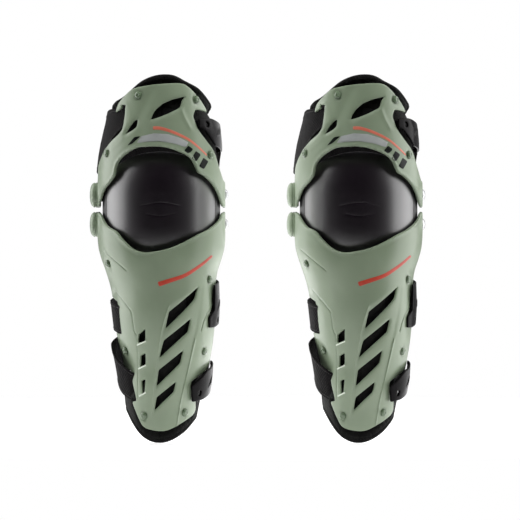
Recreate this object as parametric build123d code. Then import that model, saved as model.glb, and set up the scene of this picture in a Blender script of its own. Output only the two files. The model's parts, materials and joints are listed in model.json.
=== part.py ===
"""A pair of dual-pivot knee and shin guards, in millimetres.

Each guard stands as it is worn: +Z up the leg, -Y the front, +X to the right as seen from the front.
The origin is the knee centre of the left guard, midway between its two hinge axes.
Both guards are the same; the right one stands GUARD_SPACING along +X.
"""
import os
from math import sqrt

from build123d import *

# Layout of the pair and of the two hinge axes of one guard
GUARD_SPACING = 255.0
PIVOT_Z = 19.0

# Layers between the outside of the shells and the leg, measured inwards
SHELL_T = 3.5
LINER_INSET = 9.5
LINER_T = 7.0

# Outer form of the leg shells: height, half width, front depth, back depth, sideways shift
THIGH_FORM = [
    (0, 82.4, 92, 71, 0),
    (20, 82.4, 92, 72, 0),
    (36, 82.4, 91.5, 74, 0),
    (52, 82.2, 90.5, 76, 0),
    (75, 80, 89, 79, 0),
    (100, 76.5, 87.5, 80, 0),
    (125, 72, 86, 80, 0),
    (150, 69.5, 84, 80, 0),
    (180, 67, 82, 80, 0),
]
SHIN_FORM = [
    (0, 82.4, 92, 70, 0),
    (-20, 82.4, 92.5, 70, 0),
    (-36, 82.5, 93, 70, 0),
    (-50, 81.4, 93, 70, 0),
    (-64, 77.6, 92.3, 70, 0),
    (-80, 72.2, 90.3, 71, 0.3),
    (-104, 67.5, 86.5, 72, 2.5),
    (-135, 65.6, 81.5, 71, 4),
    (-168, 62, 75.5, 65, 5),
    (-203, 55.5, 69, 55, 5.6),
    (-226, 53, 66, 50, 3),
    (-250, 49.5, 62.5, 46, 1),
    (-275, 46, 60, 43, 0.3),
    (-305, 43, 57, 40, 0),
]

# Knee cup: radius of its front about each hinge axis, half width, wall and reach past each axis
CUP_RADIUS = 86.0
CUP_HALF_WIDTH = 77.0
CUP_T = 3.0
CUP_REACH_DEG = 40
CUP_EDGE_X = 69.8
PAD_GAP = 0.4
PAD_T = 7.0
PAD_HALF_WIDTH = 60.0
PAD_REACH_DEG = 37

# Hinges
EAR_R = 16.5
EAR_INNER_X = 78.9
EAR_OUTER_X = 82.6
PLATE_INNER_X = 73.2
PLATE_OUTER_X = 75.9
PLATE_R = 13.2
PIN_R = 4.0
PIN_CLEARANCE = 0.05
BUSH_R = 6.0
WASHER_R = 8.5
MOVING_GAP = 0.3
PIN_TAIL_R = 6.0
PIN_TAIL_T = 1.2
RIVET_HEAD_R = 7.8
RIVET_HEAD_X = 86.0
CAP_R = 16.3
CAP_WALL = 2.4
CAP_X = 93.0
CAP_SHOULDER_X = 87.5

# Domed fasteners of the shells
STUD_HEAD_R = 5.0
STUD_HEAD_H = 3.0
STUD_SHANK_R = 2.4
STUD_LIFT = 0.35

# Straps and their hooks
STRAP_T = 2.2
BAR_R = 2.0
BAR_Y = 16.0
BAR_CLEARANCE = 0.06
LOOP_R = 4.0
LUG_R = 4.2
LUG_H = 5.0
LOOP_GAP = 0.5
HOOK_T = 4.0
POST_R = 2.3
POST_HOLE_R = 3.8
POST_PLATE_T = 1.8
FAR = 150.0


def ring_face(section, inset):
    """Face across the leg at one height: half an ellipse in front, half an ellipse behind."""
    height, half_width, front, back, shift = section
    front_arc = EllipticalCenterArc((shift, 0), half_width - inset, front - inset, 180, arc_size=180)
    back_arc = EllipticalCenterArc((shift, 0), half_width - inset, back - inset, 0, arc_size=180)
    return Pos(0, 0, height) * make_face([front_arc, back_arc])


def leg_form(sections, inset):
    """Solid with the outer form of the guard, shrunk by inset."""
    return loft([ring_face(section, inset) for section in sections])


def layer(sections, inset, thickness):
    """Closed tube that lies inset under the outer form."""
    return leg_form(sections, inset) - leg_form(sections, inset + thickness)


def outline(*runs):
    """Closed face from runs of points: two points are a line, more are a smooth curve."""
    edges = [Line(*run) if len(run) == 2 else Spline(*run) for run in runs]
    return make_face(edges)


def front_prism(face, back_y=30.0):
    """A face drawn in front view, run from the front to back_y."""
    return extrude(Plane.XZ.offset(-back_y) * face, amount=FAR + back_y)


def side_prism(face):
    """A face drawn in side view (Y across, Z up), run right across the guard."""
    return extrude(Plane.YZ * face, amount=FAR, both=True)


def corner_box(low, high):
    """Box between two corners."""
    size = [b - a for a, b in zip(low, high)]
    return Pos(*low) * Box(*size, align=(Align.MIN, Align.MIN, Align.MIN))


def rod_x(radius, x_low, x_high, z):
    """Cylinder along X about a hinge axis."""
    return Pos(x_low, 0, z) * Rot(0, 90, 0) * extrude(Circle(radius), amount=x_high - x_low)


def section_at(sections, height):
    """Half width, front depth and shift of a form at one height."""
    for (z0, *low), (z1, *high) in zip(sections, sections[1:]):
        if min(z0, z1) <= height <= max(z0, z1):
            t = (height - z0) / (z1 - z0)
            return [a + t * (b - a) for a, b in zip(low, high)]
    raise ValueError(height)


def front_y(sections, x, height):
    """Y of the form's front at one point of the front view."""
    half_width, front, _, shift = section_at(sections, height)
    return -front * sqrt(1 - ((x - shift) / half_width) ** 2)


def surface_plane(sections, x, height):
    """Plane on the form's front with its Z pointing out of the guard."""
    step = 1.0
    y = front_y(sections, x, height)
    slope_x = (front_y(sections, x + step, height) - front_y(sections, x - step, height)) / (2 * step)
    slope_z = (front_y(sections, x, height + step) - front_y(sections, x, height - step)) / (2 * step)
    return Plane(origin=(x, y, height), x_dir=(1, slope_x, 0), z_dir=(slope_x, -1, slope_z))


# ---------------------------------------------------------------- thigh shell

THIGH_BACK_EDGE = [(15.5, 36), (8, 47), (-8, 56), (-20, 64), (-30, 71)]
THIGH_STUDS = [(-27.8, 145.7), (46, 140.5), (-70, 72), (64, 70)]
THIGH_VENTS = [
    [(-12.3, 114), (-5.2, 127), (4, 134.7), (16.8, 140), (32.4, 143.7), (26, 129.5), (10.4, 121.7), (-2.6, 116.6)],
    [(-45.3, 95.8), (-40, 105), (-29.8, 115.3), (-31, 105), (-36.3, 101)],
]


def thigh_front():
    """Front view of the thigh shell: domed top, strap slot on the left, hook notch on the right."""
    return outline(
        [(-58.3, 124.3), (-54.4, 136), (-44, 147.6), (-35, 154)],
        [(-35, 154), (-15.5, 158), (4, 160), (26, 160.6)],
        [(26, 160.6), (36, 156.7)],
        [(36, 156.7), (49, 143.7), (58.3, 129.5), (59.6, 124.3)],
        [(59.6, 124.3), (50.5, 127)],
        [(50.5, 127), (45, 127)],
        [(45, 127), (42.7, 119), (45.3, 111), (49, 102)],
        [(49, 102), (58.3, 89.4), (68.6, 75), (75, 55.7), (80.3, 39)],
        [(80.3, 39), (95, 30)],
        [(95, 30), (95, 2)],
        [(95, 2), (80.3, 4)],
        [(80.3, 4), (75, 19.4), (68.6, 31), (58.3, 41.4), (49, 46.6)],
        [(49, 46.6), (39, 64.8), (23, 73.8), (4, 79), (-15.5, 79.6), (-35, 76.4), (-54.4, 61), (-59.6, 43)],
        [(-59.6, 43), (-64.8, 36), (-73.8, 26), (-79, 13), (-80.3, 4)],
        [(-80.3, 4), (-95, 2)],
        [(-95, 2), (-95, 44)],
        [(-95, 44), (-83, 49)],
        [(-83, 49), (-79, 64.8), (-72.5, 77.7), (-63.5, 88), (-54.4, 95.8), (-49, 103.6), (-46.6, 116.6)],
        [(-46.6, 116.6), (-44.7, 133.5)],
        [(-44.7, 133.5), (-50.5, 133.5)],
        [(-50.5, 133.5), (-50.5, 129)],
        [(-50.5, 129), (-58.3, 124.3)],
    )


def arm_view(z, end, back_edge):
    """Side view of a shell: its arm rounded about the hinge axis, then its back edge up to end."""
    away = 1 if end > z else -1
    blank = outline(
        [(-FAR, z), (-FAR, end)],
        [(-FAR, end), (back_edge[-1][0], end)],
        [(back_edge[-1][0], end), back_edge[-1]],
        back_edge[::-1] + [(EAR_R, z)],
        [(EAR_R, z), (-FAR, z)],
    )
    ear_low = min(z, z - away * EAR_R)
    front_corner = Pos(-FAR, ear_low) * Rectangle(FAR, EAR_R, align=(Align.MIN, Align.MIN))
    return side_prism(blank + Pos(0, z) * Circle(EAR_R) + front_corner)


def ear_bosses(z):
    """Flat discs at the ends of both arms, where the hinges sit."""
    right = rod_x(EAR_R, EAR_INNER_X, EAR_OUTER_X, z)
    left = rod_x(EAR_R, -EAR_OUTER_X, -EAR_INNER_X, z)
    return right + left


def flat_ears(shell, z):
    """Shell with its two ears faced flat inside and out, and bored for the bushes."""
    inside = rod_x(EAR_R, -EAR_INNER_X, EAR_INNER_X, z)
    outside = rod_x(CAP_R, EAR_OUTER_X, FAR, z) + rod_x(CAP_R, -FAR, -EAR_OUTER_X, z)
    shell -= inside
    shell += ear_bosses(z)
    shell -= outside
    shell -= rod_x(BUSH_R, -FAR, FAR, z)
    return shell


def stud_holes(sections, places):
    """Cutter for the shanks of the domed studs."""
    return [surface_plane(sections, x, z) * Cylinder(STUD_SHANK_R + 0.1, 30) for x, z in places]


def thigh_shell():
    shell = layer(THIGH_FORM, 0, SHELL_T) & front_prism(thigh_front())
    shell &= arm_view(PIVOT_Z, 180, THIGH_BACK_EDGE)
    shell = flat_ears(shell, PIVOT_Z)
    for vent in THIGH_VENTS:
        shell -= front_prism(make_face(Polyline(*vent, close=True)), -20)
    shell -= stud_holes(THIGH_FORM, THIGH_STUDS)
    return shell


# ---------------------------------------------------------------- shin shell

SHIN_BACK_EDGE = [(15.5, -34), (8, -52), (4, -80), (3, -140), (-5, -210)]
SHIN_STUDS = [(-68, -70), (62.8, -90), (-46, -182), (56, -182.6), (-21.4, -265), (31, -261)]
SHIN_VENTS = [
    [(11.7, -131), (49, -99.7), (45, -115), (6.5, -153)],
    [(4.5, -168), (40, -140), (36, -157), (-1.3, -190)],
    [(-2.6, -206), (29.8, -181), (26, -197), (-5.2, -226.6)],
    [(-5.2, -241), (20.7, -221), (17.5, -234), (-7.8, -257.7)],
    [(-28.5, -160.6), (-19.4, -153), (-19.4, -168.4), (-28.5, -171)],
    [(-26, -188), (-19.4, -184), (-19.4, -199), (-26, -202)],
    [(-24.6, -220), (-19.4, -217.6), (-20.7, -234), (-23.3, -237)],
]


def shin_front():
    """Front view of the shin shell, with two strap slots on the left and two notches on the right."""
    return outline(
        [(-95, -2), (-80.3, -4)],
        [(-80.3, -4), (-70, -20.7), (-57, -28.5), (-48, -39), (-35, -50.5)],
        [(-35, -50.5), (-22, -55), (-9, -54.4), (10.4, -50.5), (29.8, -42.7), (49, -32.4), (62, -26)],
        [(62, -26), (75, -15.5), (80.3, -4)],
        [(80.3, -4), (95, -2)],
        [(95, -2), (95, -112.7)],
        [(95, -112.7), (71, -112.7)],
        [(71, -112.7), (66, -125.6), (63.5, -133)],
        [(63.5, -133), (63.5, -150)],
        [(63.5, -150), (95, -151.5)],
        [(95, -151.5), (95, -196)],
        [(95, -196), (61, -203)],
        [(61, -203), (55.7, -210), (40, -221)],
        [(40, -221), (39, -230), (40, -242)],
        [(40, -242), (45, -246)],
        [(45, -246), (44, -260), (36, -269)],
        [(36, -269), (13, -282), (-2.6, -284.3), (-20.7, -280), (-28.5, -269), (-37.6, -247)],
        [(-37.6, -247), (-31.7, -246)],
        [(-31.7, -246), (-36.3, -226.6), (-39.5, -207)],
        [(-39.5, -207), (-46.6, -207), (-50.5, -200)],
        [(-50.5, -200), (-95, -197)],
        [(-95, -197), (-95, -159)],
        [(-95, -159), (-51.8, -159)],
        [(-51.8, -159), (-57, -119)],
        [(-57, -119), (-64, -114)],
        [(-64, -114), (-95, -112)],
        [(-95, -112), (-95, -2)],
    )


def shin_shell():
    shell = layer(SHIN_FORM, 0, SHELL_T) & front_prism(shin_front())
    shell &= arm_view(-PIVOT_Z, -310, SHIN_BACK_EDGE)
    shell = flat_ears(shell, -PIVOT_Z)
    for vent in SHIN_VENTS:
        shell -= front_prism(make_face(Polyline(*vent, close=True)), -20)
    shell -= stud_holes(SHIN_FORM, SHIN_STUDS)
    return shell


def studs(sections, places):
    """Domed studs through a shell, one at each place."""
    dome = Pos(0, 0, STUD_LIFT) * revolve(Plane.XZ * outline(
        [(0, 0), (STUD_HEAD_R, 0)],
        [(STUD_HEAD_R, 0), (STUD_HEAD_R * 0.8, STUD_HEAD_H * 0.7), (0, STUD_HEAD_H)],
        [(0, STUD_HEAD_H), (0, 0)],
    ), Axis.Z)
    shank = extrude(Circle(STUD_SHANK_R), amount=-SHELL_T)
    stud = dome + Pos(0, 0, STUD_LIFT) * shank
    return [surface_plane(sections, x, z) * stud for x, z in places]


# ---------------------------------------------------------------- knee cup

def cup_y(x, inset):
    """Front of the knee cup at one width, shrunk by inset."""
    reach = (CUP_RADIUS - inset) * sqrt(1 - (x / CUP_HALF_WIDTH) ** 2)
    return -reach


def cup_profile(half_width, outer, inner):
    """Top view of a curved wall of the cup between two insets."""
    stations = [half_width * t / 4 for t in range(-4, 5)]
    front = [(x, cup_y(x, outer)) for x in stations]
    back = [(x, cup_y(x, inner)) for x in stations]
    return outline(front, [front[-1], back[-1]], back[::-1], [back[0], front[0]])


def bend_over_axes(profile, reach_deg):
    """Carry a top view profile straight between the hinge axes and round each of them."""
    middle = Pos(0, 0, -PIVOT_Z) * extrude(profile, amount=2 * PIVOT_Z)
    upper = revolve(Pos(0, 0, PIVOT_Z) * profile, Axis((0, 0, PIVOT_Z), (-1, 0, 0)), reach_deg)
    lower = revolve(Pos(0, 0, -PIVOT_Z) * profile, Axis((0, 0, -PIVOT_Z), (1, 0, 0)), reach_deg)
    return middle + upper + lower


def knee_cup():
    return bend_over_axes(cup_profile(CUP_EDGE_X, 0, CUP_T), CUP_REACH_DEG)


def knee_pad():
    inner = CUP_T + PAD_GAP + PAD_T
    return bend_over_axes(cup_profile(PAD_HALF_WIDTH, CUP_T + PAD_GAP, inner), PAD_REACH_DEG)


def hinge_carrier():
    """Two side plates that hold the hinge axes apart, each with a web reaching the cup's edge."""
    web = outline(
        [(70.0, -34.8), (72.8, -27.5), (PLATE_OUTER_X, -12)],
        [(PLATE_OUTER_X, -12), (PLATE_INNER_X, -12)],
        [(PLATE_INNER_X, -12), (70.2, -24), (67.5, -31.5)],
        [(67.5, -31.5), (70.0, -34.8)],
    )
    plate_face = Rectangle(2 * PLATE_R, 2 * PIVOT_Z) + Pos(0, PIVOT_Z) * Circle(PLATE_R)
    plate_face += Pos(0, -PIVOT_Z) * Circle(PLATE_R)
    plate = extrude(Plane.YZ.offset(PLATE_INNER_X) * plate_face, amount=PLATE_OUTER_X - PLATE_INNER_X)
    side = plate + bend_over_axes(web, CUP_REACH_DEG - 15)
    for z in (-PIVOT_Z, PIVOT_Z):
        side -= rod_x(PIN_R, 0, FAR, z)
    return [side, mirror(side, Plane.YZ)]


# ---------------------------------------------------------------- hinge hardware

def hinge_pins(z):
    """Two shouldered pins of one hinge axis: a plain head under the cap, a domed head on the right."""
    tail = PLATE_INNER_X - PIN_TAIL_T
    head_x = EAR_OUTER_X + MOVING_GAP
    right = rod_x(PIN_R, tail, head_x, z) + rod_x(PIN_TAIL_R, tail, PLATE_INNER_X, z)
    head = outline(
        [(0, 0), (RIVET_HEAD_R, 0)],
        [(RIVET_HEAD_R, 0), (RIVET_HEAD_R * 0.8, 1.9), (0, RIVET_HEAD_X - head_x)],
        [(0, RIVET_HEAD_X - head_x), (0, 0)],
    )
    right += Pos(head_x, 0, z) * Rot(0, 90, 0) * revolve(Plane.XZ * head, Axis.Z)
    left = rod_x(PIN_R, -head_x, -tail, z) + rod_x(PIN_TAIL_R, -PLATE_INNER_X, -tail, z)
    left += rod_x(RIVET_HEAD_R, -head_x - 2.5, -head_x, z)
    return [left, right]


def hinge_bushes(z):
    """Plain bushes pressed into both arms."""
    right = rod_x(BUSH_R, EAR_INNER_X, EAR_OUTER_X, z) - rod_x(PIN_R + PIN_CLEARANCE, 0, FAR, z)
    return [right, mirror(right, Plane.YZ)]


def hinge_washers():
    """Four spacers between the carrier plates and the arms."""
    washers = []
    for z in (-PIVOT_Z, PIVOT_Z):
        ring = rod_x(WASHER_R, PLATE_OUTER_X, EAR_INNER_X - MOVING_GAP, z) - rod_x(PIN_R, 0, FAR, z)
        washers += [ring, mirror(ring, Plane.YZ)]
    return washers


def hinge_cap(z):
    """Hollow domed cap over a left hinge."""
    depth = CAP_X - EAR_OUTER_X
    shoulder = CAP_SHOULDER_X - EAR_OUTER_X
    outer = outline(
        [(0, 0), (CAP_R, 0)],
        [(CAP_R, 0), (CAP_R, shoulder)],
        [(CAP_R, shoulder), (CAP_R * 0.86, depth - 2.2), (CAP_R * 0.5, depth - 0.4), (0, depth)],
        [(0, depth), (0, 0)],
    )
    cap = revolve(Plane.XZ * outer, Axis.Z) - extrude(Circle(CAP_R - CAP_WALL), amount=shoulder)
    return Pos(-EAR_OUTER_X, 0, z) * Rot(0, -90, 0) * cap


# ---------------------------------------------------------------- padding

def liner(sections, front_face, side_face):
    """Padded liner under a shell."""
    return layer(sections, LINER_INSET, LINER_T) & front_prism(front_face) & side_prism(side_face)


def thigh_liner():
    front = outline(
        [(-95, 118), (-70, 125.6)],
        [(-70, 125.6), (-54, 142.5), (-35, 158), (-15.5, 168), (4, 172), (23, 169), (49, 155), (62, 137), (67, 123)],
        [(67, 123), (95, 116)],
        [(95, 116), (95, 62)],
        [(95, 62), (60, 66)],
        [(60, 66), (35, 82), (0, 87), (-35, 84), (-60, 68)],
        [(-60, 68), (-95, 62)],
        [(-95, 62), (-95, 118)],
    )
    side = Polyline((-FAR, 60), (-FAR, 180), (0, 180), (4, 120), (4, 60), close=True)
    return liner(THIGH_FORM, front, make_face(side))


def shin_liner():
    front = outline(
        [(-95, -80), (95, -80)],
        [(95, -80), (95, -245)],
        [(95, -245), (49, -245)],
        [(49, -245), (45, -265.5), (36, -280), (26, -290), (13, -296), (-1.3, -298)],
        [(-1.3, -298), (-15.5, -296), (-27, -289), (-36, -277), (-43, -262), (-48, -249), (-49, -238)],
        [(-49, -238), (-95, -238)],
        [(-95, -238), (-95, -80)],
    )
    side = Polyline((-FAR, -70), (2, -70), (2, -160), (-6, -240), (-20, -305), (-FAR, -305), close=True)
    return liner(SHIN_FORM, front, make_face(side))


# ---------------------------------------------------------------- straps and hooks

# Each strap: its lower and upper ring sections, its loop on the bar, where its left end stops,
# the hook's lower and upper height, ring sections and front view, the post that it drops over
# (front view), and how far the strap's back is tipped up about that post.
THIGH_STRAP = {
    "rings": [(87, 75.4, 76.5, 79, 0), (119, 74.3, 75.9, 79, 0)],
    "left_end_x": -48.0,
    "hook_z": (84, 118),
    "hook_rings": [(70, 80.5, 95, 80, 0), (120, 77.5, 93.5, 80, 0)],
    "hook_view": [(51, 104), (51, 114), (64, 118), (90, 118), (90, 84), (72, 84), (66, 92), (58, 101)],
    "post": (56.0, 108.5),
    "tip_deg": -8,
}
CALF_STRAP = {
    "rings": [(-158, 63.5, 44.5, 69, 5), (-120, 66.5, 45.5, 72, 3.7)],
    "left_end_x": -51.5,
    "hook_z": (-149, -95),
    "hook_rings": [(-160, 70.2, 77, 70, 4.8), (-80, 75.5, 81, 72, 1.5)],
    "hook_view": [(71, -95), (90, -95), (90, -149), (64, -149), (64, -135), (70, -128)],
    "post": (67.6, -142.0),
    "tip_deg": 8,
}
ANKLE_STRAP = {
    "rings": [(-246, 56.8, 37.2, 47, 0.5), (-213, 61.2, 37.5, 51, 1)],
    "left_end_x": -38.0,
    "hook_z": (-245, -207),
    "hook_rings": [(-250, 63, 66.5, 46, 0.5), (-200, 69, 71, 52, 1)],
    "hook_view": [(41, -222), (62, -207), (90, -207), (90, -244), (42, -244)],
    "post": (45.5, -234.0),
    "tip_deg": 16,
}


def tipped(strap, sections, shape):
    """A strap's piece turned about the line across the guard through its post."""
    x, z = strap["post"]
    y = front_y(sections, x, z)
    return Pos(0, y, z) * Rot(strap["tip_deg"], 0, 0) * Pos(0, -y, -z) * shape


def bar_point(strap, height):
    """Centre of a hook's bar at one height: the middle of the strap's thickness."""
    half_width, _, back, shift = section_at_line(strap["rings"], height)
    x = shift + (half_width - STRAP_T / 2) * sqrt(1 - (BAR_Y / (back - STRAP_T / 2)) ** 2)
    return Vector(x, BAR_Y, height)


def section_at_line(rings, height):
    """Ring sizes on the straight line through two rings, at any height."""
    (z0, *low), (z1, *high) = rings
    t = (height - z0) / (z1 - z0)
    return [a + t * (b - a) for a, b in zip(low, high)]


def bar_rod(strap, radius, z_low, z_high):
    """Cylinder along a hook's bar between two heights."""
    low = bar_point(strap, z_low)
    high = bar_point(strap, z_high)
    plane = Plane(origin=low, z_dir=high - low)
    return plane * extrude(Circle(radius), amount=(high - low).length)


def strap_band(strap, sections):
    """Webbing strap: under the shell on the left, round the back, and to a loop on the bar."""
    low_ring, high_ring = strap["rings"]
    z_low, z_high = low_ring[0], high_ring[0]
    hook_low, hook_high = strap["hook_z"]
    loop_low = hook_low + LUG_H + LOOP_GAP
    loop_high = hook_high - LUG_H - LOOP_GAP
    outer = loft([ring_face(ring, 0) for ring in strap["rings"]], ruled=True)
    inner = loft([ring_face(ring, STRAP_T) for ring in strap["rings"]], ruled=True)
    band = outer - inner
    band -= corner_box((strap["left_end_x"], -FAR, -FAR * 2), (0, 0, FAR * 2))
    band -= corner_box((0, -FAR, -FAR * 2), (FAR, BAR_Y, FAR * 2))
    beside_bar = corner_box((0, BAR_Y - 1, z_low - 1), (FAR, BAR_Y + 8, z_high + 1))
    beside_bar -= corner_box((0, BAR_Y - 2, loop_low), (FAR, BAR_Y + 9, loop_high))
    band -= beside_bar
    band += bar_rod(strap, LOOP_R, loop_low, loop_high)
    band -= bar_rod(strap, BAR_R, hook_low, hook_high)
    return tipped(strap, sections, band)


def hook_bar(strap, sections):
    return tipped(strap, sections, bar_rod(strap, BAR_R, *strap["hook_z"]))


def strap_hook(strap, sections):
    """Moulded hook: two lugs on the bar, a curved plate, and a hole that drops over the post."""
    z_low, z_high = strap["hook_z"]
    outer = loft([ring_face(ring, 0) for ring in strap["hook_rings"]], ruled=True)
    inner = loft([ring_face(ring, HOOK_T) for ring in strap["hook_rings"]], ruled=True)
    view = make_face(Polyline(*strap["hook_view"], close=True))
    hook = (outer - inner) & front_prism(view, BAR_Y)
    hook += bar_rod(strap, LUG_R, z_low, z_low + LUG_H)
    hook += bar_rod(strap, LUG_R, z_high - LUG_H, z_high)
    hook -= bar_rod(strap, LOOP_R + LOOP_GAP, z_low + LUG_H, z_high - LUG_H)
    hook -= bar_rod(strap, BAR_R + BAR_CLEARANCE, z_low - 5, z_high + 5)
    hook = tipped(strap, sections, hook)
    hook -= surface_plane(sections, *strap["post"]) * Cylinder(POST_HOLE_R, 40)
    return hook


def hook_post(strap, sections):
    """Catch under the shell's edge: a small plate with a post that stands out through the notch."""
    x, z = strap["post"]
    frame = surface_plane(sections, x, z)
    view = Pos(x - 6, z) * RectangleRounded(20, 10, 3)
    plate = layer(sections, SHELL_T + 0.1, POST_PLATE_T) & front_prism(view, -1)
    stem = frame * Pos(0, 0, -SHELL_T - 1.2) * extrude(Circle(POST_R), amount=SHELL_T + 4)
    return plate + stem


# ---------------------------------------------------------------- one guard

def guard_nodes():
    """Every piece of one guard, by its plain name."""
    return {
        "thigh_shell": thigh_shell(),
        "shin_shell": shin_shell(),
        "knee_cup": knee_cup(),
        "knee_pad": knee_pad(),
        "hinge_carrier": hinge_carrier(),
        "upper_hinge_pins": hinge_pins(PIVOT_Z),
        "lower_hinge_pins": hinge_pins(-PIVOT_Z),
        "upper_hinge_bushes": hinge_bushes(PIVOT_Z),
        "lower_hinge_bushes": hinge_bushes(-PIVOT_Z),
        "hinge_washers": hinge_washers(),
        "upper_hinge_cap": hinge_cap(PIVOT_Z),
        "lower_hinge_cap": hinge_cap(-PIVOT_Z),
        "thigh_studs": studs(THIGH_FORM, THIGH_STUDS),
        "shin_studs": studs(SHIN_FORM, SHIN_STUDS),
        "thigh_liner": thigh_liner(),
        "shin_liner": shin_liner(),
        "thigh_strap": strap_band(THIGH_STRAP, THIGH_FORM),
        "calf_strap": strap_band(CALF_STRAP, SHIN_FORM),
        "ankle_strap": strap_band(ANKLE_STRAP, SHIN_FORM),
        "thigh_hook": strap_hook(THIGH_STRAP, THIGH_FORM),
        "calf_hook": strap_hook(CALF_STRAP, SHIN_FORM),
        "ankle_hook": strap_hook(ANKLE_STRAP, SHIN_FORM),
        "thigh_hook_bar": hook_bar(THIGH_STRAP, THIGH_FORM),
        "calf_hook_bar": hook_bar(CALF_STRAP, SHIN_FORM),
        "ankle_hook_bar": hook_bar(ANKLE_STRAP, SHIN_FORM),
        "thigh_hook_post": hook_post(THIGH_STRAP, THIGH_FORM),
        "calf_hook_post": hook_post(CALF_STRAP, SHIN_FORM),
        "ankle_hook_post": hook_post(ANKLE_STRAP, SHIN_FORM),
    }


def as_compound(pieces):
    """Solids of one node as one compound."""
    if isinstance(pieces, list):
        return Compound(children=[solid for piece in pieces for solid in piece.solids()])
    return Compound(children=list(pieces.solids()))


def main():
    os.makedirs("parts", exist_ok=True)
    for name, pieces in guard_nodes().items():
        node = as_compound(pieces)
        export_step(node, f"parts/left_{name}.step")
        export_step(Pos(GUARD_SPACING, 0, 0) * node, f"parts/right_{name}.step")


main()
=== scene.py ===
import json
import math
import bpy
import numpy as np
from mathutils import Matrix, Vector, geometry


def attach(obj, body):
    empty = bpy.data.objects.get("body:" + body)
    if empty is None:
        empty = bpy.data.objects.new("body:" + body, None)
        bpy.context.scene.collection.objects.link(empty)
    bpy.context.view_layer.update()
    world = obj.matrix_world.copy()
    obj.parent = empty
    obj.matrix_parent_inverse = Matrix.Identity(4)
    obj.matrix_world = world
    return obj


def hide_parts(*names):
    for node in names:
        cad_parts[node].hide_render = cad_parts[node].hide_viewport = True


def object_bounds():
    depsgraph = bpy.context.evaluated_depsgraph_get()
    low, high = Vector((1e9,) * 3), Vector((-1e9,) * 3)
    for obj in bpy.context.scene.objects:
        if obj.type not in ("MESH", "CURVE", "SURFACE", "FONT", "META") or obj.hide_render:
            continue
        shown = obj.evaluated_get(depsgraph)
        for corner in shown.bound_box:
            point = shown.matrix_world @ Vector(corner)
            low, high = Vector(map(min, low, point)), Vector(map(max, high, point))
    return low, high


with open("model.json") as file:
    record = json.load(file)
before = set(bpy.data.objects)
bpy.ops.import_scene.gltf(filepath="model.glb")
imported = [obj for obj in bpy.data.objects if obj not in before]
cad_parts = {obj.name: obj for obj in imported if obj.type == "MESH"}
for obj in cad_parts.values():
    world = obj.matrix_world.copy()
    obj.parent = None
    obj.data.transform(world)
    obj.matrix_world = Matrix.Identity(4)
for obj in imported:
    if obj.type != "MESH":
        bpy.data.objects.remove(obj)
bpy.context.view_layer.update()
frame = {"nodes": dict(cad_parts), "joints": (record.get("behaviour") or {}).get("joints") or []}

MM = 0.001
JOINTS = {j["name"]: j for j in frame["joints"]}
PIVOT = JOINTS["left_upper_flex"]["pos_m"][2] / MM
GUARDS = {side: JOINTS[side + "_upper_flex"]["pos_m"][0] for side in ("left", "right")}
U = 80.0                  # millimetres of flat width per radian round a leg form
SHELL_T = 3.5
LINER_INSET = 9.5         # from the outside of a shell in to the outside of its liner
LINER_T = 7.0
EAR_R = 16.5              # the round end of an arm
EAR_X = 82.6              # the flat face of an arm, outwards from the guard's middle
EAR_BLEND = (17.0, 27.0)  # distances from the hinge axis where an arm is flat, and where it is all leg form

# Leg forms: height, half width, front depth, back depth, sideways shift.
THIGH = [(0, 82.4, 92, 71, 0), (20, 82.4, 92, 72, 0), (36, 82.4, 91.5, 74, 0), (52, 82.2, 90.5, 76, 0),
         (75, 80, 89, 79, 0), (100, 76.5, 87.5, 80, 0), (125, 72, 86, 80, 0), (150, 69.5, 84, 80, 0),
         (180, 67, 82, 80, 0)]
SHIN = [(0, 82.4, 92, 70, 0), (-20, 82.4, 92.5, 70, 0), (-36, 82.5, 93, 70, 0), (-50, 81.4, 93, 70, 0),
        (-64, 77.6, 92.3, 70, 0), (-80, 72.2, 90.3, 71, 0.3), (-104, 67.5, 86.5, 72, 2.5),
        (-135, 65.6, 81.5, 71, 4), (-168, 62, 75.5, 65, 5), (-203, 55.5, 69, 55, 5.6), (-226, 53, 66, 50, 3),
        (-250, 49.5, 62.5, 46, 1), (-275, 46, 60, 43, 0.3), (-305, 43, 57, 40, 0)]


# ---- curves and forms

def smooth(low, high, x):
    """0 below low, 1 above high, and a smooth step between."""
    t = np.clip((np.asarray(x, float) - low) / (high - low), 0, 1)
    return t * t * (3 - 2 * t)


def rows_at(rows, z):
    """Smooth interpolation of a leg form at heights z: columns half width, front, back, shift."""
    rows = sorted(rows)
    zs = np.array([r[0] for r in rows], float)
    vals = np.array([r[1:] for r in rows], float)
    slope = np.gradient(vals, zs, axis=0)
    z = np.clip(np.atleast_1d(np.asarray(z, float)), zs[0], zs[-1])
    i = np.clip(np.searchsorted(zs, z, side="right") - 1, 0, len(zs) - 2)
    h = (zs[i + 1] - zs[i])[:, None]
    t = (z - zs[i])[:, None] / h
    return ((2 * t**3 - 3 * t**2 + 1) * vals[i] + (t**3 - 2 * t**2 + t) * h * slope[i]
            + (3 * t**2 - 2 * t**3) * vals[i + 1] + (t**3 - t**2) * h * slope[i + 1]).T


def spline(points, step=2.0):
    """Catmull-Rom curve through points, sampled about every step. Two points give a line."""
    p = np.array(points, float)
    ext = np.vstack([2 * p[0] - p[1], p, 2 * p[-1] - p[-2]])
    out = []
    for i in range(1, len(ext) - 2):
        a, b, c, d = ext[i - 1:i + 3]
        n = max(1, int(np.linalg.norm(c - b) / step))
        for t in np.arange(n) / n:
            out.append(0.5 * ((2 * b) + (c - a) * t + (2 * a - 5 * b + 4 * c - d) * t**2
                              + (3 * b - a - 3 * c + d) * t**3))
    return np.array(out + [p[-1]])


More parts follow.
